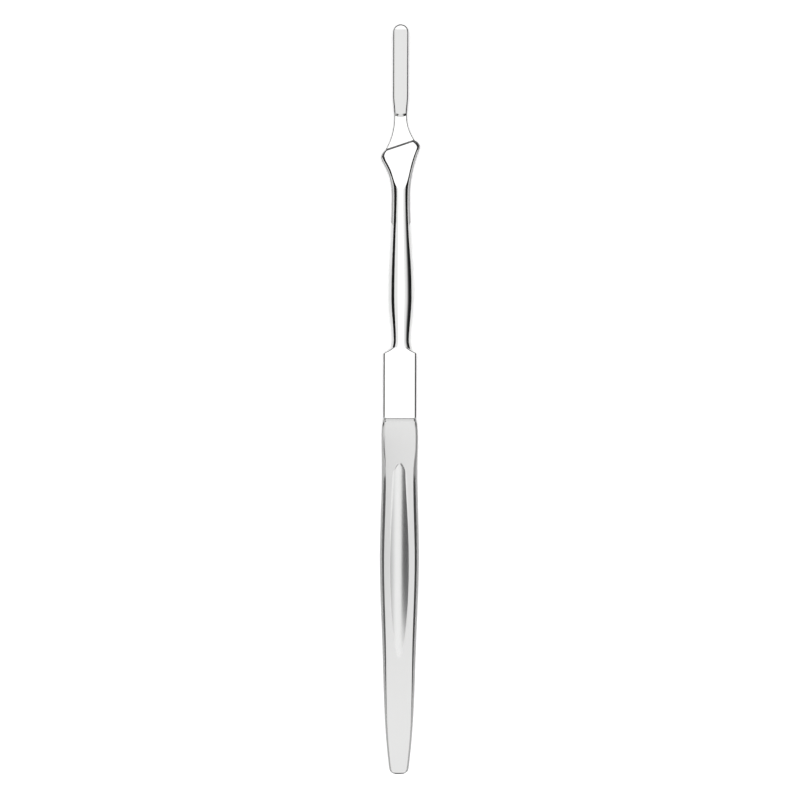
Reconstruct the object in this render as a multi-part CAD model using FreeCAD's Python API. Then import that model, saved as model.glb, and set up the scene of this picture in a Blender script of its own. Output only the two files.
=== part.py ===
import FreeCAD, Part
import math
import os

# Slender scalpel handle for detachable blades: one forged and ground piece of stainless steel.
# Millimetres. While it is built the handle lies along Y: grip end at Y = 0, tang tip towards +Y,
# front face, which takes the blade, up. The last step tips it onto a flat surface.

# Lengths along the handle, from the grip end to the tang tip
grip_length = 65.3
barrel_length = 10.9
block_length = 13.8
shoulder_length = 1.2
lower_waist_length = 0.8
bulb_rise_length = 10.0
bulb_fall_length = 21.5
flare_length = 9.0
stop_corner_length = 1.9
seat_length = 6.0
key_length = 19.6

# Flat grip and the barrel above it
grip_end_width = 3.84
grip_end_thickness = 1.6
grip_shoulder_place = 5.3
grip_shoulder_width = 5.02
grip_shoulder_thickness = 1.78
grip_taper_place = 27.0
grip_taper_width = 7.12
grip_taper_thickness = 2.4
grip_widest_place = 46.5
grip_widest_width = 8.3
grip_widest_thickness = 2.8
grip_top_width = 7.6
grip_top_thickness = 3.0
barrel_width = 7.72
barrel_thickness = 3.4
barrel_corner_length = 1.5
barrel_corner_width = 7.45
barrel_foot_width = 6.9
barrel_foot_thickness = 3.2
end_corner_radius = 1.0
end_bow = 0.25
end_face_radius = 0.4
end_face_bow = 0.12
end_edge_radius = 0.25
grip_edge_radius = 0.6
barrel_edge_radius = 0.75

# Hollow flute in each face of the grip
flute_place = 48.0
flute_half_length = 23.5
flute_width = 3.9
flute_depth = 0.45
flute_blunt_place = 65.7
flute_blunt_drop = 0.9

# Block
block_width = 7.0
block_thickness = 4.5
block_cove_radius = 1.6
block_edge_radius = 0.35
shoulder_inner_width = 3.1

# Round neck
lower_waist_diameter = 4.26
bulb_diameter = 5.6
upper_waist_diameter = 3.9

# Paddle and slanted blade stop
paddle_width = 8.3
paddle_thickness = 2.4
paddle_side_bulge = 0.5
paddle_squareness = 4.0
paddle_flat_length = 5.0
flat_runout_radius = 14.0
flare_power = 2.1
stop_slant = 18.7
stop_width = 6.3
stop_corner_bow = 0.4
stop_height = 0.9

# Blade seat and the key that the blade slides over
seat_waist_width = 2.6
key_base_width = 3.0
key_web_width = 2.3
key_cap_width = 3.2
key_cap_thickness = 0.5
key_widening_length = 4.0
key_rear_bow = 0.6
key_top_fall = 0.2
key_tip_bevel_length = 1.1
key_tip_bevel_fall = 0.2
blade_groove_height = 0.5
tang_back_rise = 0.45

# Places along the handle that follow from those lengths
barrel_start = grip_length
block_start = barrel_start + barrel_length
block_end = block_start + block_length
shoulder_end = block_end + shoulder_length
lower_waist = shoulder_end + lower_waist_length
bulb = lower_waist + bulb_rise_length
upper_waist = bulb + bulb_fall_length
paddle_corner = upper_waist + flare_length
blade_stop = paddle_corner + stop_corner_length
key_start = blade_stop + seat_length
tang_tip = key_start + key_length

# Levels above the middle plane, and the lean of the blade stop across the handle
paddle_top = paddle_thickness / 2
seat_level = paddle_top - stop_height
key_cap_bottom = seat_level + blade_groove_height
key_cap_top = key_cap_bottom + key_cap_thickness
lean = math.tan(math.radians(stop_slant))

# How far shapes run into each other before they are joined, how far a cut runs clear, and the
# largest share of half a thickness that a round edge takes
overlap = 1.0
clear = 5.0
edge_share = 0.9


def vector(x, y, z=0.0):
    return FreeCAD.Vector(x, y, z)


def line(start, end):
    return Part.LineSegment(start, end).toShape()


def arc(start, middle, end):
    return Part.Arc(start, middle, end).toShape()


def leaning(x, y):
    """Point of a plan outline, slid along the handle as the blade stop is."""
    return vector(x, y + x * lean)


def plate(edges, bottom, top):
    """Solid between two levels with the plan outline that the edges close."""
    solid = Part.Face(Part.Wire(Part.sortEdges(edges)[0])).extrude(vector(0, 0, top - bottom))
    solid.translate(vector(0, 0, bottom))
    return solid


def side_profile(edges, width):
    """Solid across the handle with the outline that the edges close in the plane X = 0."""
    solid = Part.Face(Part.Wire(Part.sortEdges(edges)[0])).extrude(vector(width, 0, 0))
    solid.translate(vector(-width / 2, 0, 0))
    return solid


def path(points):
    """Straight edges from each point to the next."""
    return [line(a, b) for a, b in zip(points, points[1:])]


def reach(solid, place, direction):
    """How far the solid reaches from the middle line, at a place along the handle."""
    start = vector(0, place)
    inside = solid.common(line(start, start + direction * tang_tip))
    return inside.BoundBox.DiagonalLength


def blend(part):
    """Smooth rise from 0 to 1, level at both ends."""
    return (1 - math.cos(math.pi * part)) / 2


def cornered_section(place, width, thickness, radius):
    """Rectangle with round corners, standing across the handle."""
    x = width / 2
    z = thickness / 2
    r = min(radius, z * edge_share)
    edges = []
    last = None
    for turn in (45, 135, 225, 315):
        angle = math.radians(turn)
        sx = math.copysign(1, math.cos(angle))
        sz = math.copysign(1, math.sin(angle))
        centre = vector(sx * (x - r), place, sz * (z - r))
        ends = [math.radians(turn + step) for step in (-45, 0, 45)]
        points = [centre + vector(r * math.cos(a), 0, r * math.sin(a)) for a in ends]
        if last:
            edges.append(line(last, points[0]))
        edges.append(arc(*points))
        last = points[2]
    edges.append(line(last, edges[0].Vertexes[0].Point))
    return Part.Wire(edges)


def oval_section(place, width, thickness, squareness, tilt):
    """Closed curve from round, squareness 2, to nearly square, leaning along the handle."""
    count = 32
    points = []
    for i in range(count):
        turn = 2 * math.pi * i / count
        c = math.cos(turn)
        s = math.sin(turn)
        x = width / 2 * math.copysign(abs(c) ** (2 / squareness), c)
        z = thickness / 2 * math.copysign(abs(s) ** (2 / squareness), s)
        points.append(vector(x, place + x * tilt, z))
    curve = Part.BSplineCurve()
    curve.interpolate(Points=points, PeriodicFlag=True)
    return Part.Wire([curve.toShape()])


def bowed_end(half, radius, bow, across):
    """Outline far wider than the grip, with a bowed end and two round corners at its start."""
    top = bow + radius
    cut = radius * (1 - math.sqrt(0.5))
    edges = []
    for side in (-1, 1):
        corner = across * side * half + vector(0, top)
        bend = across * side * (half - cut) + vector(0, bow + cut)
        inner = across * side * (half - radius) + vector(0, bow)
        outer = across * side * (half + clear) + vector(0, top)
        edges.append(arc(inner, bend, corner))
        edges += path([corner, outer, outer + vector(0, tang_tip)])
    edges.append(arc(across * (radius - half) + vector(0, bow), vector(0, 0),
                     across * (half - radius) + vector(0, bow)))
    edges.append(line(across * (-half - clear) + vector(0, top + tang_tip),
                      across * (half + clear) + vector(0, top + tang_tip)))
    return edges


def rounded_grip_end(skin):
    """The grip's skin with its end bowed and rounded, seen from the front and from the side."""
    right = vector(1, 0)
    up = vector(0, 0, 1)
    half_width = reach(skin, end_bow + end_corner_radius, right)
    half_thickness = reach(skin, end_face_bow + end_face_radius, up)
    front_view = plate(bowed_end(half_width, end_corner_radius, end_bow, right), -clear, clear)
    side_view = side_profile(
        bowed_end(half_thickness, end_face_radius, end_face_bow, up), grip_widest_width + clear)
    return skin.common(front_view).common(side_view)


def grip_and_barrel():
    """Flat grip and slightly crowned barrel: one skin through sections across the handle."""
    top = block_start + overlap
    rows = [
        (0.0, grip_end_width, grip_end_thickness, end_edge_radius),
        (grip_shoulder_place, grip_shoulder_width, grip_shoulder_thickness, end_edge_radius),
        (grip_taper_place, grip_taper_width, grip_taper_thickness, grip_edge_radius),
        (grip_widest_place, grip_widest_width, grip_widest_thickness, grip_edge_radius),
        (barrel_start, grip_top_width, grip_top_thickness, grip_edge_radius),
        (barrel_start + barrel_length / 2, barrel_width, barrel_thickness, barrel_edge_radius),
        (block_start - barrel_corner_length, barrel_corner_width, barrel_thickness,
         barrel_edge_radius),
        (block_start, barrel_foot_width, barrel_foot_thickness, barrel_edge_radius),
        (top, 2 * barrel_foot_width - barrel_corner_width, barrel_foot_thickness,
         barrel_edge_radius),
    ]
    skin = Part.makeLoft([cornered_section(*row) for row in rows], True)
    return rounded_grip_end(skin)


def flute(grip):
    """Tool for one hollow: a ring of round section sunk into the front face, with a blunt end."""
    sink = flute_depth
    section_radius = ((flute_width / 2) ** 2 + sink ** 2) / (2 * sink)
    run_radius = (flute_half_length ** 2 + sink ** 2) / (2 * sink)
    low = flute_place - flute_half_length
    up = vector(0, 0, 1)
    rise = reach(grip, flute_blunt_place, up) - reach(grip, low, up)
    slope = math.atan2(rise, flute_blunt_place - low)
    deepest = vector(0, flute_place, reach(grip, flute_place, up) - sink)
    ring = Part.makeTorus(
        run_radius - section_radius, section_radius, deepest + up * run_radius, vector(1, 0))
    ring.rotate(deepest, vector(1, 0), math.degrees(slope))
    side = flute_width
    drop = flute_blunt_drop * (side / (flute_width / 2)) ** 2
    left = vector(-side, flute_blunt_place - drop)
    right = vector(side, flute_blunt_place - drop)
    edges = [arc(left, vector(0, flute_blunt_place), right)]
    edges += path([right, vector(side, 0), vector(-side, 0), left])
    return ring.common(plate(edges, 0, clear))


def block():
    """Square block: a cove runs up from the barrel at its foot, and its shoulders slope to the neck."""
    half = block_thickness / 2
    foot = barrel_foot_thickness / 2
    step = half - foot
    sunk = foot - step / 4
    turn = math.acos(1 - step / block_cove_radius)
    cove_start = block_start - block_cove_radius * math.sin(turn)
    bend_place = cove_start + block_cove_radius * math.sin(turn / 2)
    bend_level = foot + block_cove_radius * (1 - math.cos(turn / 2))
    edges = []
    for side in (-1, 1):
        top = vector(0, block_start, side * half)
        bend = vector(0, bend_place, side * bend_level)
        edges.append(arc(vector(0, cove_start, side * sunk), bend, top))
        edges.append(line(top, vector(0, shoulder_end, side * half)))
    edges.append(line(vector(0, shoulder_end, -half), vector(0, shoulder_end, half)))
    edges.append(line(vector(0, cove_start, -sunk), vector(0, cove_start, sunk)))
    bar = side_profile(edges, block_width + clear)
    wide = block_width / 2
    narrow = shoulder_inner_width / 2
    outline = path([
        vector(-wide, barrel_start),
        vector(wide, barrel_start),
        vector(wide, block_end),
        vector(narrow, shoulder_end),
        vector(-narrow, shoulder_end),
        vector(-wide, block_end),
        vector(-wide, barrel_start)])
    section = cornered_section(barrel_start, block_width, block_thickness, block_edge_radius)
    rounded = Part.Face(section).extrude(vector(0, shoulder_end - barrel_start))
    return bar.common(plate(outline, -block_thickness, block_thickness)).common(rounded)


def face_cut(side):
    """Tool for the flat of the paddle, front (1) or back (-1), which runs out into the neck."""
    flat_start = blade_stop - paddle_flat_length
    rise = (bulb_diameter - paddle_thickness) / 2
    turn = math.acos(1 - rise / flat_runout_radius)
    run = flat_runout_radius * math.sin(turn)
    half_rise = flat_runout_radius * (1 - math.cos(turn / 2))
    half_run = flat_runout_radius * math.sin(turn / 2)
    start = vector(0, flat_start - run, side * (paddle_top + rise))
    middle = vector(0, flat_start - half_run, side * (paddle_top + half_rise))
    low = vector(0, flat_start, side * paddle_top)
    end_level = side * paddle_top
    if side < 0:
        end_level += tang_back_rise
    edges = [arc(start, middle, low)]
    edges += path([
        low,
        vector(0, blade_stop, side * paddle_top),
        vector(0, tang_tip, end_level),
        vector(0, tang_tip + clear, end_level),
        vector(0, tang_tip + clear, side * (paddle_top + rise)),
        start])
    return side_profile(edges, paddle_width + clear)


def stop_plate():
    """Plan outline that cuts the flare to its slanted end and its two bowed corners."""
    half = paddle_width / 2
    inner = stop_width / 2
    outer = half + overlap / 10
    wide = outer + clear
    chord = math.hypot(half - inner, stop_corner_length)
    out = stop_corner_bow / chord
    edges = []
    for side in (-1, 1):
        corner = leaning(side * outer, paddle_corner)
        bend = leaning(
            side * ((half + inner) / 2 + out * stop_corner_length),
            (paddle_corner + blade_stop) / 2 + out * (half - inner))
        edges.append(arc(corner, bend, leaning(side * inner, blade_stop)))
        edges += path([corner, vector(side * wide, corner.y), vector(side * wide, block_start)])
    edges.append(line(leaning(-inner, blade_stop), leaning(inner, blade_stop)))
    edges.append(line(vector(-wide, block_start), vector(wide, block_start)))
    return plate(edges, -clear, clear)


def flare_row(part):
    """Section of the flare, a part of the way from the neck to the paddle's corners and past them."""
    soft = blend(min(part, 1))
    full_thickness = paddle_thickness + paddle_side_bulge
    width = upper_waist_diameter + (paddle_width - upper_waist_diameter) * part ** flare_power
    thickness = upper_waist_diameter + (full_thickness - upper_waist_diameter) * soft
    squareness = 2 + (paddle_squareness - 2) * soft
    return upper_waist + flare_length * part, width, thickness, squareness, lean * soft


def neck_and_paddle():
    """Round neck with its bulb, which flares and flattens into the paddle."""
    steps = 4
    rows = [
        (block_end - overlap, lower_waist_diameter, lower_waist_diameter, 2, 0),
        (lower_waist, lower_waist_diameter, lower_waist_diameter, 2, 0),
    ]
    for i in range(1, steps + 1):
        part = i / steps
        diameter = lower_waist_diameter + (bulb_diameter - lower_waist_diameter) * blend(part)
        rows.append((lower_waist + bulb_rise_length * part, diameter, diameter, 2, 0))
    for i in range(1, steps + 1):
        part = i / steps
        diameter = bulb_diameter + (upper_waist_diameter - bulb_diameter) * blend(part)
        rows.append((bulb + bulb_fall_length * part, diameter, diameter, 2, 0))
    rows += [flare_row(i / steps) for i in range(1, steps + 1)]
    rows.append(flare_row(1 + (stop_corner_length + overlap) / flare_length))
    skin = Part.makeLoft([oval_section(*row) for row in rows], True)
    return skin.common(stop_plate()).cut(face_cut(1)).cut(face_cut(-1))


def key_outline(width, rear_width, start, tip):
    """Plan outline of the key: bowed rear end, sides that widen to full width, round tip."""
    half = width / 2
    rear = rear_width / 2
    widened = start + key_widening_length
    edges = [
        arc(vector(-rear, start + key_rear_bow), vector(0, start), vector(rear, start + key_rear_bow)),
        arc(vector(-half, tip - half), vector(0, tip), vector(half, tip - half)),
    ]
    for side in (-1, 1):
        edges += path([
            vector(side * rear, start + key_rear_bow),
            vector(side * half, widened),
            vector(side * half, tip - half)])
    return edges


def seat_outline():
    """Plan outline of the blade seat: it narrows in two hollow curves from the stop to the key."""
    wide = stop_width / 2
    thin = seat_waist_width / 2
    hollow = (wide - thin) / 4
    end = key_start + key_rear_bow
    edges = []
    for side in (-1, 1):
        low = leaning(side * wide, blade_stop)
        middle = leaning(side * (thin + hollow), blade_stop + seat_length / 2)
        top = leaning(side * thin, key_start)
        edges.append(arc(low, middle, top))
        edges.append(line(low, leaning(side * wide, blade_stop - overlap)))
        edges.append(line(top, vector(side * thin, end + overlap)))
    edges.append(line(leaning(-wide, blade_stop - overlap), leaning(wide, blade_stop - overlap)))
    edges.append(line(vector(-thin, end + overlap), vector(thin, end + overlap)))
    return edges


def key_cap():
    """Head of the key: it overhangs the grooves, falls towards the tip and is bevelled there."""
    bevel = tang_tip - key_tip_bevel_length
    tip_level = key_cap_top - key_top_fall
    rear = key_start - overlap
    front = tang_tip + overlap
    bevel_level = tip_level - key_tip_bevel_fall
    bar = side_profile(path([
        vector(0, rear, key_cap_bottom),
        vector(0, front, key_cap_bottom),
        vector(0, front, bevel_level),
        vector(0, tang_tip, bevel_level),
        vector(0, bevel, tip_level),
        vector(0, rear, key_cap_top),
        vector(0, rear, key_cap_bottom)]), key_cap_width + clear)
    outline = key_outline(key_cap_width, seat_waist_width, key_start, tang_tip)
    return bar.common(plate(outline, -clear, clear))


def tang():
    """Blade seat, and the key on its base with a groove for the blade along each side."""
    inset = (key_cap_width - key_base_width) / 2
    narrow = (key_cap_width - key_web_width) / 2
    bottom = -paddle_top - overlap
    seat = plate(seat_outline(), bottom, seat_level)
    base = plate(
        key_outline(key_base_width, seat_waist_width - inset, key_start, tang_tip - inset),
        bottom, seat_level)
    web = plate(
        key_outline(key_web_width, seat_waist_width - narrow, key_start + narrow / 2, tang_tip - narrow),
        bottom, key_cap_bottom + key_cap_thickness / 4)
    return seat.fuse([base, web, key_cap()]).cut(face_cut(-1))


def rest_angle():
    """Slope of the middle line when the bulb and the grip end both touch a flat surface."""
    return math.degrees(math.atan2((bulb_diameter - grip_end_thickness) / 2, bulb))


def fluted_grip():
    """Grip and barrel with the same hollow in the front and the back."""
    grip = grip_and_barrel()
    front = flute(grip)
    back = front.mirror(vector(0, 0), vector(0, 0, 1))
    return grip.cut(front).cut(back)


def scalpel_handle():
    """The whole handle, tipped onto the flat surface that it lies on."""
    handle = fluted_grip().fuse(block()).fuse(neck_and_paddle()).fuse(tang())
    handle.rotate(vector(0, 0), vector(1, 0), rest_angle())
    box = handle.optimalBoundingBox(False)
    handle.translate(vector(0, -(box.YMin + box.YMax) / 2, -box.ZMin))
    return handle


parts = {"scalpel_handle": scalpel_handle()}

os.makedirs("parts", exist_ok=True)
for name, shape in parts.items():
    shape.exportStep("parts/" + name + ".step")
    print(name, "valid" if shape.isValid() else "not valid", len(shape.Solids), round(shape.Volume, 2))
    print(shape.BoundBox)
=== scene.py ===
import bisect
import math

import bmesh
import bpy
from mathutils import Matrix


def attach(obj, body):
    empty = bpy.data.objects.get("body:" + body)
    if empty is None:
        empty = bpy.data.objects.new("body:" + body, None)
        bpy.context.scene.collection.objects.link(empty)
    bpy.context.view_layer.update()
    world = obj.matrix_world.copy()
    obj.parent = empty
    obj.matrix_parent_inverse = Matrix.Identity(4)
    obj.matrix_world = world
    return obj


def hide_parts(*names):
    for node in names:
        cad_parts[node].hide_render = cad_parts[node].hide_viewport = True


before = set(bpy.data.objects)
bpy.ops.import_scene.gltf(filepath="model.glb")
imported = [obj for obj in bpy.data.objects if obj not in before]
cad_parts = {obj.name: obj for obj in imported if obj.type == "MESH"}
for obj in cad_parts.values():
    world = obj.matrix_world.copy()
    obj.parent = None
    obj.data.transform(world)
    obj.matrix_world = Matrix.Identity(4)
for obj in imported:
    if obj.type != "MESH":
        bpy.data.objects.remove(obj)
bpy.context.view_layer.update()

# The handle is one forged and ground bar of stainless steel. Sizes are millimetres along the
# straight bar, grip end at 0 and tang tip at 160, front face up. It lies tipped on the floor, on
# the grip's end and on the bulb of the neck.
millimetre = 0.001
grip_end_thickness = 1.6
bulb_diameter = 5.6
bulb_place = 102.0
tip_angle = math.atan2((bulb_diameter - grip_end_thickness) / 2, bulb_place)
middle_from_grip_end = 79.976
rise_of_grip_end = 0.806
lying = (Matrix.Scale(millimetre, 4)
         @ Matrix.Translation((0, -middle_from_grip_end, rise_of_grip_end))
         @ Matrix.Rotation(tip_angle, 4, "X"))


# Flat grip and barrel: the bar's lower half, ground flat on both faces with bowed flanks. It widens
# from a small rounded end to its broadest a third of the way up, and runs into the slightly crowned
# barrel. Columns are place, width, thickness and the depth of the flanks or rounded edges.
grip_end_width = 3.84
grip_sections = [
    (0.0, grip_end_width, grip_end_thickness, 0.4),
    (5.3, 5.02, 1.78, 0.4),
    (27.0, 7.12, 2.4, 0.75),
    (46.5, 8.3, 2.8, 0.9),
    (65.3, 7.6, 3.0, 0.85),
    (70.75, 7.72, 3.4, 0.75),
    (74.7, 7.45, 3.4, 0.75),
    (76.2, 6.9, 3.2, 0.75),
    (77.2, 6.35, 3.2, 0.75),
]
# The end's rounding: its radius and how far it bows, across the width and across the thickness.
end_corner = (1.0, 0.25)
end_face = (0.4, 0.12)
end_bow_run = 2.5


def smooth_line(places, sizes):
    """Size as a smooth function of place, through every given pair (natural cubic spline)."""
    last = len(places) - 1
    steps = [b - a for a, b in zip(places, places[1:])]
    rises = [(b - a) / h for a, b, h in zip(sizes, sizes[1:], steps)]
    share, pull, bend = [0.0], [0.0], [0.0] * (last + 1)
    for i in range(1, last):
        pivot = 2 * (steps[i - 1] + steps[i]) - steps[i - 1] * share[-1]
        pull.append((6 * (rises[i] - rises[i - 1]) - steps[i - 1] * pull[-1]) / pivot)
        share.append(steps[i] / pivot)
    for i in range(last - 1, 0, -1):
        bend[i] = pull[i] - share[i] * bend[i + 1]

    def size_at(place):
        i = min(max(bisect.bisect(places, place) - 1, 0), last - 1)
        a = (places[i + 1] - place) / steps[i]
        b = 1 - a
        curve = (a ** 3 - a) * bend[i] + (b ** 3 - b) * bend[i + 1]
        return a * sizes[i] + b * sizes[i + 1] + curve * steps[i] ** 2 / 6
    return size_at


def ease(part):
    """Smooth rise from 0 to 1, level at both ends."""
    return (1 - math.cos(math.pi * min(max(part, 0), 1))) / 2


def lower_of(a, b, width):
    """The lower of two heights, rounded over where they cross."""
    share = min(max(0.5 + 0.5 * (b - a) / width, 0), 1)
    return b + (a - b) * share - width * share * (1 - share)


def spread(start, end, count):
    """Even steps from the start up to, but without, the end."""
    return [start + (end - start) * i / count for i in range(count)]


grip_width, grip_thickness, grip_edge = [
    smooth_line([row[0] for row in grip_sections], [row[column] for row in grip_sections])
    for column in (1, 2, 3)]


def rounded_end(place, half, corner):
    """Half size of the grip near its round corners, across its width or its thickness."""
    radius = corner[0]
    if place >= radius:
        return half(place)
    return half(place) - radius + math.sqrt(radius ** 2 - (radius - max(place, 0)) ** 2)


def end_bow(x, z, place):
    """How far the grip's end falls back from its middle, a little in each direction."""
    fade = max(1 - max(place, 0) / end_bow_run, 0) ** 2
    across = end_corner[1] * (x / (grip_end_width / 2)) ** 2
    return fade * (across + end_face[1] * (z / (grip_end_thickness / 2)) ** 2)


# Flute: the long lens-shaped hollow that a grinding wheel leaves in each face of the grip. It is
# deepest in the middle, fades out towards the grip's end and stops in a narrow arch at the barrel.
flute_place = 48.0
flute_half_length = 23.5
flute_half_width = 1.95
flute_depth = 0.45
flute_end = 66.7
flute_slope_end = 65.7
flute_end_curve = 0.95
flute_end_ramp = 0.32
flute_lip = 0.03
wheel_round = (flute_half_width ** 2 + flute_depth ** 2) / (2 * flute_depth)
wheel_run = (flute_half_length ** 2 + flute_depth ** 2) / (2 * flute_depth)
flute_start = flute_place - flute_half_length
flute_rise = (grip_thickness(flute_slope_end) - grip_thickness(flute_start)) / 2
flute_slope = flute_rise / (flute_slope_end - flute_start)
flute_bottom = grip_thickness(flute_place) / 2 - flute_depth


def sunk_below(place):
    """How far the flute's deepest line lies below the grip's face."""
    run = place - flute_place
    rise = wheel_run - math.sqrt(wheel_run ** 2 - run ** 2)
    return grip_thickness(place) / 2 - flute_bottom - flute_slope * run - rise


def flute_edge(place):
    """Half width of the flute where it meets the face, or a narrow stand-in beyond its ends."""
    apart = 0.12
    if place < flute_start:
        return apart + 0.9 * ease((flute_start - place) / 12)
    sunk = sunk_below(min(place, flute_end - 1))
    if sunk <= 0:
        return apart
    reach = wheel_round - sunk
    return max(apart, math.sqrt(wheel_round ** 2 - reach ** 2))


def face_height(x, place):
    """Height of the grip's face above the middle plane, with the flute ground into it."""
    face = grip_thickness(place) / 2
    if abs(x) > 0.95 * wheel_round or not flute_start - 1 < place < flute_end + 1:
        return face
    run = place - flute_place
    across = wheel_run - wheel_round + math.sqrt(wheel_round ** 2 - x ** 2)
    floor = flute_bottom + flute_slope * run + wheel_run - math.sqrt(across ** 2 - run ** 2)
    past = place - (flute_end - flute_end_curve * x ** 2 - 0.5)
    floor += flute_end_ramp * (past + math.sqrt(past ** 2 + 0.01)) / 2
    return lower_of(face, floor, flute_lip)


# Block: the four-sided part that the fingers turn. A cove runs up to it from the barrel on both
# faces, its long edges are slightly rounded, and at its upper end two slanted shoulders lead to
# the neck.
block_start = 76.2
block_end = 90.0
shoulder_end = 91.2
block_half_width = 3.5
block_half_thickness = 2.25
block_edge = 0.55
shoulder_edge = 0.35
shoulder_fall = 0.2
slant_reach = 0.9
shoulder_half_width = 1.55
cove_radius = 1.6
cove_foot = 1.6
cove_turn = math.acos(1 - (block_half_thickness - cove_foot) / cove_radius)
cove_start = block_start - cove_radius * math.sin(cove_turn)
crisp = 0.04
plain_grip_end = 60


def barrel_and_block(place):
    """Half width, half thickness and edge depth of the barrel and block."""
    width = grip_width(place) / 2 if place < block_start else 0
    thickness = grip_thickness(place) / 2 if place < block_start else 0
    radius = grip_edge(place)
    if place > cove_start:
        sweep = min(place - cove_start, 0.999 * cove_radius)
        cove = cove_foot + cove_radius - math.sqrt(cove_radius ** 2 - sweep ** 2)
        if place > block_start + 0.2:
            cove = block_half_thickness + 1
        thickness = max(thickness, lower_of(cove, block_half_thickness, crisp))
        width = max(width, block_half_width)
        radius += (block_edge - radius) * ease(sweep / (block_start - cove_start))
    if place > block_end - 0.2:
        slope = (block_half_width - shoulder_half_width) / (shoulder_end - block_end)
        width = lower_of(block_half_width - slope * (place - block_end), block_half_width, crisp)
        radius = block_edge + (shoulder_edge - block_edge) * ease((place - block_end) / 0.25)
        thickness -= shoulder_fall * ease((place - block_end) / (shoulder_end - block_end))
    return width, thickness, radius


corner_steps = 8
side_steps = 5
hold = 0.03
flank_turn = math.radians(30)
flank_end = 64.0
flank_fade = 6.0


def belt_flank(half_width, half_thickness, depth):
    """Quarter outline of the grip's side, bowed over its full height up to a crease."""
    points = []
    for i in range(side_steps + corner_steps + 1):
        turn = flank_turn * i / (side_steps + corner_steps)
        fall = depth * (1 - math.cos(turn)) / (1 - math.cos(flank_turn))
        points.append((half_width - fall, half_thickness * math.sin(turn) / math.sin(flank_turn)))
    return points


def bar_ring(place):
    """Ring of points round the grip, barrel or block, with columns that follow the flute's edge."""
    if place < plain_grip_end:
        half_width = rounded_end(place, lambda y: grip_width(y) / 2, end_corner)
        half_thickness = rounded_end(place, lambda y: grip_thickness(y) / 2, end_face)
        radius = grip_edge(place)
    else:
        half_width, half_thickness, radius = barrel_and_block(place)
    radius = min(radius, 0.9 * half_thickness, 0.9 * half_width)
    reach = radius * (1 + slant_reach * ease((place - block_end) / 0.3))
    flat = half_width - reach
    side = half_thickness - radius
    quarter = [(half_width, side * i / side_steps) for i in range(side_steps)]
    for i in range(corner_steps + 1):
        turn = math.pi / 2 * i / corner_steps
        quarter.append((flat + reach * math.cos(turn), side + radius * math.sin(turn)))
    rounding = ease((place - flank_end) / flank_fade)
    if rounding < 1:
        flank = belt_flank(half_width, half_thickness, reach)
        quarter = [(a + (c - a) * rounding, b + (d - b) * rounding)
                   for (a, b), (c, d) in zip(flank, quarter)]
    edge = min(flute_edge(place), 0.6 * flat)
    lip = min(0.06, 0.1 * flat)
    columns = spread(flat - hold * min(1, flat), edge + 2 * lip, 6)
    columns += [edge + 2 * lip, edge + lip, edge + lip / 2]
    columns += [edge * part for part in (1, 0.98, 0.955, 0.92, 0.86, 0.76, 0.64, 0.5, 0.34, 0.17)]
    bow = flute_end_curve * ease(1 - abs(place - flute_end) / 6)
    face = []
    for x in columns + [0] + [-x for x in reversed(columns)]:
        near = min(abs(x), edge)
        slide = bow * near ** 2 * (1 - max(abs(x) - edge, 0) / max(flat - edge, 0.01))
        y = place - slide
        height = half_thickness
        if flute_start - 2 < place < cove_start:
            height = face_height(x, y)
        face.append((x, y, height))
    upper = [(x, place, z) for x, z in quarter] + face
    upper += [(-x, place, z) for x, z in reversed(quarter)]
    lower = [(x, y, -z) for x, y, z in reversed(upper[1:-1])]
    return [(x, y + end_bow(x, z, place), z) for x, y, z in upper + lower]


def end_face_ring(share):
    """Ring on the flat of the grip's end, a share of the way out from its middle."""
    return [(x * share, end_bow(x * share, z * share, 0), z * share) for x, y, z in bar_ring(0)]


stretches = ["grip_and_block", "neck_and_seat", "key"]


def closed_mesh(name, rings):
    """Mesh object through the rings, closed at both ends; points that fall together are joined."""
    count = len(rings[0])
    points = [point for ring in rings for point in ring]
    faces = []
    for row in range(len(rings) - 1):
        for i in range(count):
            a = row * count + i
            b = row * count + (i + 1) % count
            faces.append((a, b, b + count, a + count))
    for ring, base, step in ((rings[0], 0, -1), (rings[-1], len(points) - count, 1)):
        centre = [sum(values) / count for values in zip(*ring)]
        points.append(centre)
        for i in range(count):
            pair = (base + i, base + (i + 1) % count)
            faces.append((*pair[::step], len(points) - 1))
    mesh = bpy.data.meshes.new(name)
    mesh.from_pydata(points, [], faces)
    return tidy_mesh(name, mesh)


def tidy_mesh(name, mesh):
    """Object of the mesh: doubled points joined, faces turned outward and its stretch noted."""
    work = bmesh.new()
    work.from_mesh(mesh)
    bmesh.ops.remove_doubles(work, verts=work.verts, dist=1e-4)
    bmesh.ops.recalc_face_normals(work, faces=work.faces)
    work.to_mesh(mesh)
    work.free()
    stretch = mesh.attributes.new("stretch", "INT", "FACE")
    stretch.data.foreach_set("value", [stretches.index(name)] * len(mesh.polygons))
    piece = bpy.data.objects.new(name, mesh)
    bpy.context.scene.collection.objects.link(piece)
    return piece


end_rounding_top = 1.2
flute_rings_end = 68.5
cove_rings_start = 74.7
edge_span = 0.12
end_places = [1 - math.cos(math.pi / 2 * i / 18) for i in range(1, 19)]
end_rings = [end_face_ring(share) for share in spread(0.1, 1, 9)]
bar_places = [0] + end_places + spread(end_rounding_top, plain_grip_end, 110)
bar_places += spread(plain_grip_end, flute_rings_end, 100)
bar_places += spread(flute_rings_end, cove_rings_start, 16)
bar_places += spread(cove_rings_start, block_start - edge_span, 18)
bar_places += spread(block_start - edge_span, block_start + edge_span, 12)
bar_places += spread(block_start + edge_span, block_end - 0.1, 28)
bar_places += spread(block_end - 0.1, block_end + 0.1, 10)
bar_places += spread(block_end + 0.1, shoulder_end, 18) + [shoulder_end]
bar_rings = end_rings + [bar_ring(place) for place in bar_places]
grip_and_block = closed_mesh("grip_and_block", bar_rings)


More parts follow.
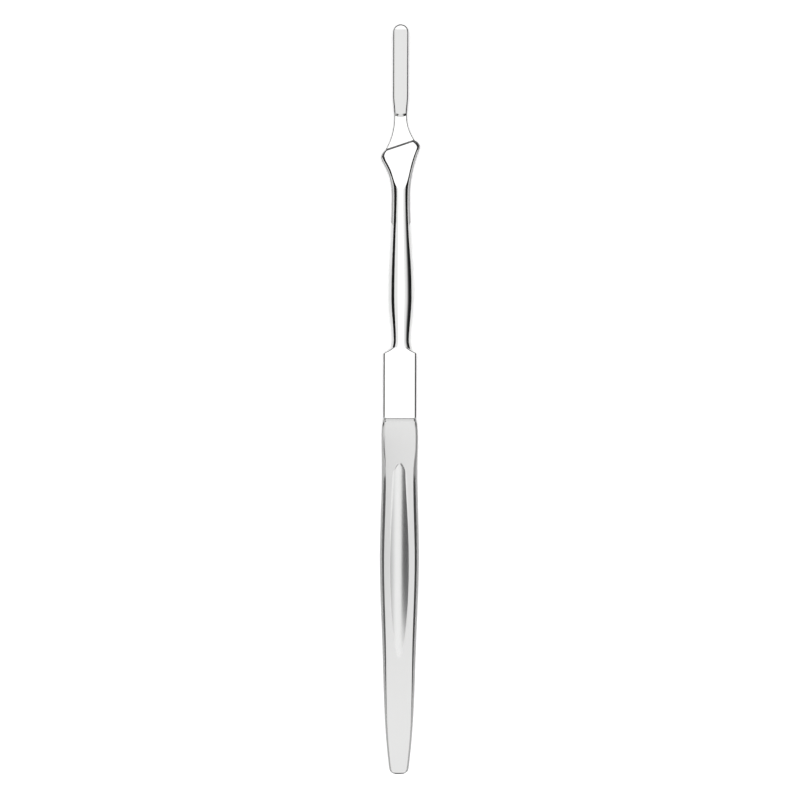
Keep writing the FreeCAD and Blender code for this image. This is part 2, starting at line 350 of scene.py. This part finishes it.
# Neck, paddle and blade seat: turned round, with a bulb for the fingers, then flared and ground
# flat on both faces. The paddle ends in a slanted step that a blade's heel stops against, and the
# seat that carries the blade goes on below it in two hollow curves.
lower_waist = (92.0, 4.26)
waist_foot = 0.32
waist_foot_start = 92.8
waist_foot_run = 2.4
neck_aside = 0.22
paddle_aside = 0.11
aside_run = 20
aside_end_run = 5
upper_waist = (123.5, 3.9)
paddle_corner = 132.5
blade_stop = 134.4
key_start = 140.4
seat_end = key_start + 0.6
tang_tip = 159.99
paddle_half_width = 4.15
paddle_level = 1.2
paddle_flank = 1.33
tang_flank = 0.35
flare_power = 2.1
flat_start = 129.4
flat_runout = 14.0
no_flat = 99.0
stop_lean = math.tan(math.radians(18.7))
right_corner = (2.9, 0.2)
left_corner = (3.3, 0.45)
corner_blend = 0.4
corner_spare = 0.03
seat_level = 0.3
seat_half_width = 1.3
key_base_half_width = 1.5
base_widening_start = 141.4
base_widening_run = 3
key_base_tip = tang_tip - 0.1
back_rise = 0.45
seat_edge = 0.25
stop_edge = 0.45
stop_foot = 0.25


def circle_through(first, middle, last):
    """Centre and radius of the circle through three points."""
    (ax, ay), (bx, by), (cx, cy) = first, middle, last
    d = 2 * (ax * (by - cy) + bx * (cy - ay) + cx * (ay - by))
    a, b, c = (x * x + y * y for x, y in (first, middle, last))
    x = (a * (by - cy) + b * (cy - ay) + c * (ay - by)) / d
    y = (a * (cx - bx) + b * (ax - cx) + c * (bx - ax)) / d
    return x, y, math.hypot(ax - x, ay - y)


def paddle_corner_half(place, corner):
    """Half width of the paddle from its broadest point to the blade stop."""
    foot, bow = corner
    out = bow / math.hypot(paddle_half_width - foot, blade_stop - paddle_corner)
    x, y, radius = circle_through(
        (paddle_half_width + corner_spare, paddle_corner),
        ((paddle_half_width + foot) / 2 + out * (blade_stop - paddle_corner),
         (paddle_corner + blade_stop) / 2 + out * (paddle_half_width - foot)),
        (foot, blade_stop))
    return x + math.sqrt(max(radius ** 2 - max(place - y, 0) ** 2, 0))


def seat_half(place, corner):
    """Half width of the seat, measured square to the lean of the blade stop."""
    if place >= key_start:
        return seat_half_width
    foot = corner[0]
    x, y, radius = circle_through(
        (foot, blade_stop),
        (seat_half_width + (foot - seat_half_width) / 4, (blade_stop + key_start) / 2),
        (seat_half_width, key_start))
    return x - math.sqrt(radius ** 2 - (max(place, blade_stop) - y) ** 2)


def key_base_half(place):
    """Half width of the key's base, which widens from the seat and ends in a round tip."""
    past = place - base_widening_start
    widened = seat_half_width + (key_base_half_width - seat_half_width) * past / base_widening_run
    half = -lower_of(-seat_half_width, -widened, 0.05)
    half = lower_of(half, key_base_half_width, 0.05)
    round_start = key_base_tip - key_base_half_width
    if place > round_start:
        half = math.sqrt(max(key_base_half_width ** 2 - (place - round_start) ** 2, 0))
    return half


def aside(place):
    """How far the neck stands to the right of the block's middle, by the photo's dark lines."""
    settled = neck_aside + (paddle_aside - neck_aside) * ease((place - bulb_place) / aside_run)
    return settled * (1 - ease((place - blade_stop) / aside_end_run))


def neck_section(place):
    """Left and right half width, half thickness, depth of the flanks and lean of a section."""
    lean = 0.0
    if place <= lower_waist[0]:
        left = right = thickness = lower_waist[1] / 2
    elif place <= upper_waist[0]:
        start, end = (lower_waist, (bulb_place, bulb_diameter))
        if place > bulb_place:
            start, end = (end, upper_waist)
        rise = ease((place - start[0]) / (end[0] - start[0]))
        left = right = thickness = (start[1] + (end[1] - start[1]) * rise) / 2
    elif place <= blade_stop:
        part = (place - upper_waist[0]) / (paddle_corner - upper_waist[0])
        round_half = upper_waist[1] / 2
        flare = round_half + (paddle_half_width - round_half) * part ** flare_power
        lean = stop_lean * ease(part)
        thickness = round_half + (paddle_flank - round_half) * ease((part - 0.15) / 0.55)
        right, left = [lower_of(flare, paddle_corner_half(place, corner), corner_blend)
                       for corner in (right_corner, left_corner)]
    else:
        lean = stop_lean * (1 - ease((place - blade_stop) / (seat_end - blade_stop)))
        thickness = paddle_flank - paddle_level + level_below(place)
        right, left = seat_half(place, right_corner), seat_half(place, left_corner)
        for i in range(12):
            right = seat_half(place + right * (lean - stop_lean), right_corner)
            left = seat_half(place - left * (lean - stop_lean), left_corner)
        if place > seat_end:
            left = right = key_base_half(place)
    if place < waist_foot_start:
        left = right = thickness + waist_foot * ease((waist_foot_start - place) / waist_foot_run)
    flank = thickness
    if place > blade_stop:
        flank += (tang_flank - flank) * ease((place - blade_stop) / 4)
    return left, right, thickness, flank, lean


def flat_level(place):
    """Level of the ground flat, which runs out into the neck on a wheel's round."""
    if place >= flat_start:
        return paddle_level
    run = flat_start - place
    if run > 0.95 * flat_runout:
        return no_flat
    return paddle_level + flat_runout - math.sqrt(flat_runout ** 2 - run ** 2)


def level_below(place):
    """Level of the back's flat below the middle plane, which rises along the tang."""
    if place <= blade_stop:
        return flat_level(place)
    return paddle_level - back_rise * (place - blade_stop) / (tang_tip - blade_stop)


face_parts = [1, 0.985, 0.965, 0.93, 0.87, 0.78, 0.66, 0.52, 0.36, 0.18, 0]
upper_side_steps = 12
lower_side_steps = 18
round_face_turn = math.radians(32)
narrow_face_turn = math.radians(3)
face_turn_start = 116
face_turn_run = 8
round_neck_end = 118
flat_blend = 0.03


def face_turn(level, thickness, place):
    """Turn from the side at which the flat begins, or a stand-in where there is no flat."""
    narrowing = ease((place - face_turn_start) / face_turn_run)
    stand_in = round_face_turn + (narrow_face_turn - round_face_turn) * narrowing
    if level >= thickness or place <= round_neck_end:
        return math.pi / 2 - stand_in
    return min(math.asin(level / thickness), math.pi / 2 - narrow_face_turn)


def neck_ring(place, top=None):
    """Ring round the neck, paddle, seat or key base; top is the seat's level, where it is cut."""
    left, right, thickness, flank, lean = neck_section(place)
    level = flat_level(place)
    below = level_below(place)

    def side_point(half, turn):
        depth = min(flank, half)
        return half - depth * (1 - math.cos(turn)), thickness * math.sin(turn)

    def face_point(half, x, flat):
        depth = min(flank, half)
        share = max(abs(x) - half + depth, 0) / depth
        return x, lower_of(thickness * math.sqrt(max(1 - share ** 2, 0)), flat, flat_blend)

    split = math.asin(min((seat_level - seat_edge) / thickness, 1))
    top_turn = face_turn(level, thickness, place)
    low_turn = face_turn(below, thickness, place)
    points = []
    for sign, half in ((1, right), (-1, left)):
        side = []
        for i in range(1, upper_side_steps + 1):
            turn = top_turn + (split - top_turn) * i / upper_side_steps
            x, z = side_point(half, turn)
            if top is not None:
                round_turn = math.pi / 2 * (1 - i / upper_side_steps)
                x = side_point(half, split)[0] - seat_edge * (1 - math.cos(round_turn))
                z = top - seat_edge * (1 - math.sin(round_turn))
            side.append((x, z if top is not None else lower_of(z, level, flat_blend)))
        for i in range(1, lower_side_steps + 1):
            x, z = side_point(half, split + (-low_turn - split) * i / lower_side_steps)
            side.append((x, z if z > 0 else -lower_of(-z, below, flat_blend)))
        flat_half = side_point(half, top_turn)[0] if top is None else side[0][0] - 0.002
        low_half = side[-1][0]
        top_row, low_row = [], []
        for part in face_parts:
            x = flat_half * part
            top_row.append(face_point(half, x, level) if top is None else (x, top))
            x, z = face_point(half, low_half * part, below)
            low_row.append((x, -z))
        points.append([(sign * x, z) for x, z in top_row[::-1] + side + low_row[1:]])
    ring = points[0] + points[1][::-1][1:-1]
    return [(x + aside(place), place + x * lean, z) for x, z in ring]


def stop_ring(place):
    """Ring at the blade stop's upper edge, where it is rounded over."""
    past = max(place - (blade_stop - stop_edge), 0)
    sink = stop_edge - math.sqrt(max(stop_edge ** 2 - past ** 2, 0))
    return [(x, y, min(z, paddle_level - sink)) for x, y, z in neck_ring(place)]


def seat_ring(place):
    """Ring of the seat, which rises into a small fillet at the foot of the blade stop."""
    near = max(stop_foot - (place - blade_stop), 0)
    return neck_ring(place, seat_level + stop_foot - math.sqrt(stop_foot ** 2 - near ** 2))


neck_places = [89.0, 89.6, 90.2] + spread(90.6, 94, 14) + spread(94, 120, 90)
neck_places += spread(120, 132, 60) + spread(132, blade_stop - stop_edge, 24)
stop_places = [blade_stop - stop_edge * (1 - math.sin(math.pi / 2 * i / 4)) for i in range(5)]
base_round_start = key_base_tip - key_base_half_width
seat_places = [blade_stop + stop_foot * (1 - math.cos(math.pi / 2 * i / 6)) for i in range(6)]
seat_places += spread(blade_stop + stop_foot, seat_end, 38) + spread(seat_end, base_round_start, 24)
seat_places += [base_round_start + key_base_half_width * math.sin(math.pi / 2 * i / 24)
                for i in range(24)]
seat_places.append(key_base_tip - 0.0002)
neck_rings = [neck_ring(place) for place in neck_places]
neck_rings += [stop_ring(place) for place in stop_places]
neck_rings += [seat_ring(place) for place in seat_places]
neck_and_seat = closed_mesh("neck_and_seat", neck_rings)


# Key: the raised bar that holds the blade. Its head overhangs a groove along each side, falls a
# little towards the tip and is bevelled there; the upper edges are eased on a belt.
key_half_width = 1.6
key_rear_half_width = 1.3
key_rear_bow = 0.3
key_widening = 4.0
web_inset = 0.45
web_foot = 0.1
head_bottom = 0.8
head_top = 1.3
head_fall = 0.1
tip_bevel = 1.1
tip_bevel_fall = 0.12
head_edge = 0.4
rear_chamfer = 0.5
rear_chamfer_fall = 0.42


def key_outline(inset, rear_inset):
    """Half outline of the key from the middle of its rear end to its tip."""
    half = key_half_width - inset
    rear = key_rear_half_width - inset
    start = key_start + rear_inset
    tip = tang_tip - inset
    points = [(rear * i / 14, start + key_rear_bow * (i / 14) ** 2.2) for i in range(14)]
    for i in range(8):
        part = i / 8
        forward = (key_start + key_widening - start - key_rear_bow) * part
        points.append((rear + (half - rear) * part, start + key_rear_bow + forward))
    points += [(half, y) for y in spread(key_start + key_widening, tip - half, 20)]
    for i in range(21):
        turn = math.pi / 2 * i / 20
        points.append((half * math.cos(turn), tip - half + half * math.sin(turn)))
    return points


def head_level(place):
    """Level of the key's top, with the bevel at the tip."""
    bevel_start = tang_tip - tip_bevel
    slope = head_fall / (bevel_start - key_start)
    level = head_top - slope * (place - key_start)
    bevel = head_top - head_fall - (place - bevel_start) * tip_bevel_fall / tip_bevel
    return lower_of(level, bevel, 0.01)


def edge_fall(place):
    """How far the rounded edge of the key's head reaches down, least at the tip."""
    fall = head_edge + (rear_chamfer_fall - head_edge) * (1 - ease((place - key_start) / 1.5))
    return min(fall, 0.85 * (head_level(place) - head_bottom - hold))


def key_mesh():
    """Web and head of the key, built up in rings from the seat to the top."""
    rings = []
    for inset, rear_inset, level in ((web_inset, web_inset / 2, web_foot),
                                     (web_inset, web_inset / 2, head_bottom),
                                     (hold, hold, head_bottom),
                                     (0, 0, head_bottom + hold)):
        rings.append([(x, y, level) for x, y in key_outline(inset, rear_inset)])
    for i in range(9):
        turn = math.pi / 2 * i / 8
        outline = key_outline(head_edge * (1 - math.cos(turn)), rear_chamfer * math.sin(turn))
        rings.append([(x, y, head_level(y) - edge_fall(y) * (1 - math.sin(turn)))
                      for x, y in outline])
    outline = key_outline(head_edge + hold, rear_chamfer + hold)
    rings.append([(x, y, head_level(y)) for x, y in outline])
    half = len(rings[0])
    points, faces = [], []
    for ring in rings:
        points += ring + [(-x, y, z) for x, y, z in ring[-2:0:-1]]
    count = 2 * half - 2
    for row in range(len(rings) - 1):
        for i in range(count):
            a = row * count + i
            b = row * count + (i + 1) % count
            faces.append((a, b, b + count, a + count))
    for base in (0, (len(rings) - 1) * count):
        for i in range(half - 1):
            right = [base + i, base + i + 1]
            left = [base + (count - i - 1) % count, base + (count - i) % count]
            faces.append(tuple(dict.fromkeys(right + left)))
    mesh = bpy.data.meshes.new("key")
    mesh.from_pydata(points, [], faces)
    return tidy_mesh("key", mesh)


key = key_mesh()


# The three stretches are one piece of steel, so they are joined into one closed skin, laid down on
# the floor and shaded smooth between their ground edges. The seams between them stay crisp.
def join_steel(piece, other):
    """Adds the other stretch to the piece and removes it."""
    join = piece.modifiers.new("join", "BOOLEAN")
    join.operation = "UNION"
    join.solver = "EXACT"
    join.object = other
    bpy.context.view_layer.update()
    view = piece.evaluated_get(bpy.context.evaluated_depsgraph_get())
    mesh = bpy.data.meshes.new_from_object(view)
    piece.modifiers.clear()
    piece.data = mesh
    bpy.data.objects.remove(other)


handle = grip_and_block
join_steel(handle, neck_and_seat)
join_steel(handle, key)
handle.name = "scalpel_handle_steel"
handle.data.name = "scalpel_handle_steel"
handle.data.transform(lying)
handle.data.shade_smooth()
handle.data.set_sharp_from_angle(angle=math.radians(34))
owners = {}
for face, stretch in zip(handle.data.polygons, handle.data.attributes["stretch"].data):
    for edge in face.edge_keys:
        owners.setdefault(edge, set()).add(stretch.value)
for edge in handle.data.edges:
    edge.use_edge_sharp = edge.use_edge_sharp or len(owners[edge.key]) > 1
handle.data.attributes.remove(handle.data.attributes["stretch"])


# Stainless steel: the grip, the barrel and the key's head are left with a fine satin from the belt;
# the block, neck, paddle and seat are polished bright. Fine lines run along the bar.
class Value:
    """A socket of the steel's or the floor's shader, for sums on what varies over the surface."""

    def __init__(self, tree, socket):
        self.tree = tree
        self.socket = socket

    def node(self, kind, settings=None, output=0, **inputs):
        node = self.tree.nodes.new(kind)
        for name, setting in (settings or {}).items():
            setattr(node, name, setting)
        for name, value in inputs.items():
            place = int(name[1:]) if name[1:].isdigit() else name.replace("_", " ")
            socket = node.inputs[place]
            if isinstance(value, Value):
                self.tree.links.new(value.socket, socket)
            else:
                socket.default_value = value
        return Value(self.tree, node.outputs[output])

    def maths(self, operation, *values):
        inputs = {"i" + str(i): value for i, value in enumerate(values)}
        return self.node("ShaderNodeMath", {"operation": operation}, **inputs)

    def __add__(self, other):
        return self.maths("ADD", self, other)

    __radd__ = __add__

    def __sub__(self, other):
        return self.maths("SUBTRACT", self, other)

    def __rsub__(self, other):
        return self.maths("SUBTRACT", other, self)

    def __mul__(self, other):
        return self.maths("MULTIPLY", self, other)

    __rmul__ = __mul__

    def __truediv__(self, other):
        return self.maths("DIVIDE", self, other)

    def ramp(self, start, end):
        """0 before the start, 1 after the end, smooth between."""
        return self.node("ShaderNodeMapRange", {"interpolation_type": "SMOOTHSTEP"},
                         i0=self, i1=start, i2=end, i3=0.0, i4=1.0)

    def both(self, other):
        return self.maths("MINIMUM", self, other)

    def either(self, other):
        return self.maths("MAXIMUM", self, other)


steel = bpy.data.materials.new("satin_and_polished_steel")
steel.use_nodes = True
steel_nodes = steel.node_tree
steel_shader = steel_nodes.nodes["Principled BSDF"]
bar = Value(steel_nodes, None).node("ShaderNodeTexCoord", output=3)
across, along, height = [
    bar.node("ShaderNodeSeparateXYZ", output=i, i0=bar) for i in range(3)]


def along_bar(place):
    """Where a place along the bar lies in the lying handle."""
    return (place - middle_from_grip_end) * millimetre


satin = 1 - along.ramp(along_bar(block_start - 0.06), along_bar(block_start + 0.02))
head_height = height - (along * math.tan(tip_angle))
head_floor = (rise_of_grip_end + 0.6) * millimetre
head_floor += middle_from_grip_end * millimetre * math.tan(tip_angle)
bevel_start = tang_tip - tip_bevel
on_head = along.ramp(along_bar(key_start - 0.2), along_bar(key_start - 0.1)).both(
    head_height.ramp(head_floor, head_floor + 0.0001)).both(
    1 - along.ramp(along_bar(bevel_start - 0.05), along_bar(bevel_start + 0.05)))
facing = bar.node("ShaderNodeNewGeometry", output=1)
leaning_up = bar.node("ShaderNodeSeparateXYZ", output=2, i0=facing)
flat_faces = leaning_up.maths("ABSOLUTE", leaning_up).ramp(0.93, 0.99)
flute_across = across / (1.99 * millimetre)
flute_along = (along - along_bar(flute_place + 0.6)) / (23.8 * millimetre)
flute_top = along + across * across * (flute_end_curve / millimetre)
in_flute = (1 - (flute_across * flute_across + flute_along * flute_along).ramp(0.93, 1.05)) * (
    1 - flute_top.ramp(along_bar(flute_end - 0.3), along_bar(flute_end - 0.1)))
belt = satin.either(on_head) * flat_faces * (1 - in_flute)
line_scale = (9000.0, 140.0, 9000.0)
lines = bar.node("ShaderNodeMapping", {"vector_type": "POINT"}, i0=bar, i3=line_scale)
lines = lines.node("ShaderNodeTexNoise", i0=lines, Scale=1.0, Detail=3.0, Roughness=0.6)
cloud = bar.node("ShaderNodeTexNoise", i0=bar, Scale=160.0, Detail=2.0, Roughness=0.5)
rough = 0.05 + 0.28 * belt + 0.10 * satin * (1 - belt) + 0.09 * in_flute
rough = rough + 0.04 * cloud + 0.05 * lines * belt
tint = 0.66 - 0.17 * satin.either(on_head) + 0.03 * (cloud - 0.5)
steel_colour = tint.node("ShaderNodeCombineColor", Red=tint, Green=tint, Blue=tint * 0.995)
relief = lines.node("ShaderNodeBump", Strength=0.05, Distance=0.00002, Height=lines)
steel_nodes.links.new(steel_colour.socket, steel_shader.inputs["Base Color"])
steel_nodes.links.new(rough.socket, steel_shader.inputs["Roughness"])
steel_nodes.links.new(relief.socket, steel_shader.inputs["Normal"])
steel_shader.inputs["Metallic"].default_value = 1.0
handle.data.materials.clear()
handle.data.materials.append(steel)

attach(handle, "root")
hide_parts("scalpel_handle")


# Floor: a plain white sheet of matt paper, large enough to fill every view. It glows a little, so
# that it stays pale beside the polished steel.
floor_mesh = bpy.data.meshes.new("floor")
reach = 3.0
floor_gap = 0.00002
floor_corners = [(-reach, -reach, 0), (reach, -reach, 0), (reach, reach, 0), (-reach, reach, 0)]
floor_mesh.from_pydata(floor_corners, [], [(0, 1, 2, 3)])
floor = bpy.data.objects.new("floor", floor_mesh)
bpy.context.scene.collection.objects.link(floor)
floor.location.z = -floor_gap
paper = bpy.data.materials.new("white_paper")
paper.use_nodes = True
paper_shader = paper.node_tree.nodes["Principled BSDF"]
paper_shader.inputs["Base Color"].default_value = (0.9, 0.9, 0.9, 1)
paper_shader.inputs["Roughness"].default_value = 0.9
paper_shader.inputs["Specular IOR Level"].default_value = 0.1
paper_shader.inputs["Emission Color"].default_value = (1, 1, 1, 1)
paper_shader.inputs["Emission Strength"].default_value = 0.4
floor_mesh.materials.append(paper)


# Studio light: a wide white softbox overhead, softer walls of light on the left and beyond the grip,
# and darkness at the horizon and low on the right, as the round neck mirrors them. The camera
# itself sees pale paper all round.
studio = bpy.data.worlds.new("studio")
bpy.context.scene.world = studio
studio.use_nodes = True
studio_nodes = studio.node_tree
sky = Value(studio_nodes, None).node("ShaderNodeTexCoord", output=0)
side_way, end_way, up_way = [sky.node("ShaderNodeSeparateXYZ", output=i, i0=sky) for i in range(3)]
back_way = 0 - end_way
oval = 0.45 + 0.15 * end_way.ramp(-0.1, 0.1)
off_centre = side_way * side_way + oval * end_way * end_way
softbox = (1 - off_centre.ramp(0.135, 0.33)) * up_way.ramp(0.0, 0.1)
side_light = 1 - end_way.ramp(0.6, 0.85)
left_wall = 1.2 * (0 - side_way).ramp(0.15, 0.45) * up_way.ramp(0.10, 0.34) * side_light
right_fade = 1.25 * up_way.ramp(0.25, 0.80) * side_light
back_strip = 1 - side_way.maths("ABSOLUTE", side_way).ramp(0.12, 0.3)
end_wall = 1.4 * back_way.ramp(0.5, 0.75) * up_way.ramp(-0.1, 0.05) * back_strip
level = 1.75 * softbox + (1 - softbox) * left_wall.either(end_wall).either(right_fade)
camera_ray = sky.node("ShaderNodeLightPath", output=0)
level = level * (1 - camera_ray) + 1.0 * camera_ray
studio_light = studio_nodes.nodes["Background"]
studio_light.inputs["Color"].default_value = (1, 1, 1, 1)
studio_nodes.links.new(level.socket, studio_light.inputs["Strength"])
studio.cycles_visibility.diffuse = False

floor_sun = bpy.data.lights.new("floor_light", "SUN")
floor_sun.energy = 2.5
floor_sun.angle = math.radians(24)
floor_light = bpy.data.objects.new("floor_light", floor_sun)
floor_light.visible_glossy = False
floor_light.visible_camera = False
bpy.context.scene.collection.objects.link(floor_light)


# Cards: they stand beside and above the handle and lie under it, and make the dark outlines and
# grey tones of the polished steel. The grey cards under it are painted shade: they stand in for the
# paper that lies in the handle's shade, as the steel mirrors it. Corners are millimetres from the
# middle of the handle, to the right, towards the tang and up.
def flag(name, corners, glow):
    """Card that only the steel sees: the floor keeps its light and the camera looks through it."""
    mesh = bpy.data.meshes.new(name)
    points = [[v * millimetre for v in corner] for corner in corners]
    mesh.from_pydata(points, [], [range(len(corners))])
    card = bpy.data.objects.new(name, mesh)
    bpy.context.scene.collection.objects.link(card)
    paint = bpy.data.materials.new(name)
    paint.use_nodes = True
    nodes = paint.node_tree
    nodes.nodes.clear()
    light = nodes.nodes.new("ShaderNodeEmission")
    light.inputs["Color"].default_value = (glow, glow, glow, 1)
    nodes.links.new(light.outputs[0], nodes.nodes.new("ShaderNodeOutputMaterial").inputs[0])
    mesh.materials.append(paint)
    card.visible_camera = False
    card.visible_shadow = False
    card.visible_diffuse = False
    return card


def standing(name, x, start, end, foot, top, glow):
    flag(name, [(x, start, foot), (x, end, foot), (x, end, top), (x, start, top)], glow)


# Painted shade: a grey sheet under the handle that only the steel sees, in place of the shaded paper
# beneath it.
def flat_card(name, start, end, glow):
    x, z = 14, -0.01
    flag(name, [(-x, start, z), (x, start, z), (x, end, z), (-x, end, z)], glow)


flag("flag_left_neck", [(-14, 10, 3.4), (-14, 50, 3.4), (-14, 50, 20), (-14, 44, 15), (-14, 37, 12),
                        (-14, 10, 12)], 0.02)
flag("flag_right_neck", [(16, 10, 0.6), (16, 30, 0.6), (16, 36, 2.8), (16, 50, 2.8), (16, 50, 20),
                         (16, 44, 14), (16, 37, 9.5), (16, 10, 9)], 0.02)
for side in (-1, 1):
    standing("flag_tang", 14 * side, 50, 92, 0.2, 12, 0.03)
    standing("flag_block", 14 * side, -4, 10, 0.2, 10, 0.03)
standing("flag_barrel_left", -14, -17, -4, 0.2, 9, 0.9)
standing("flag_barrel_right", 14, -17, -4, 0.2, 9, 0.5)
standing("flag_grip_left", -14, -92, -17, 1.2, 9, 0.2)
standing("flag_grip_right", 14, -92, -17, 1.2, 9, 0.1)
flag("flag_tip", [(-14, 92, 0.2), (14, 92, 0.2), (14, 92, 15), (-14, 92, 15)], 0.03)
flag("flag_end", [(-14, -84, 0.2), (14, -84, 0.2), (14, -84, 4), (-14, -84, 4)], 0.03)
# Painted shade under the handle, darkest under the tang, as the steel's edges mirror it.
flat_card("shaded_floor_under_tang", 56, 92, 0.22)
flat_card("shaded_floor_under_flare", 38, 56, 0.6)
flat_card("shaded_floor_under_block", -4, 10, 0.25)
flat_card("shaded_floor_under_barrel", -17, -4, 0.8)
flat_card("shaded_floor_under_grip", -92, -17, 0.8)
flag("flag_over_grip", [(-30, -50, 25), (-30, -12, 25), (-12, -12, 58), (-12, -50, 58)], 0.16)

bpy.context.scene.view_settings.view_transform = "Standard"


# Camera: straight above the middle of the handle, with the tang at the top of the picture. The lens
# is long, so the handle is seen almost without perspective.
photo_width = 0.17067
lens = 200.0
sensor = 36.0
camera_aside = 0.00004
framed_level = 0.0028
camera_turn = math.radians(0.15)
camera_data = bpy.data.cameras.new("overhead_camera")
camera_data.lens = lens
camera_data.sensor_width = sensor
camera = bpy.data.objects.new("overhead_camera", camera_data)
camera.location = (camera_aside, 0, framed_level + photo_width * lens / sensor)
camera.rotation_euler = (0, 0, camera_turn)
bpy.context.scene.collection.objects.link(camera)
bpy.context.scene.camera = camera
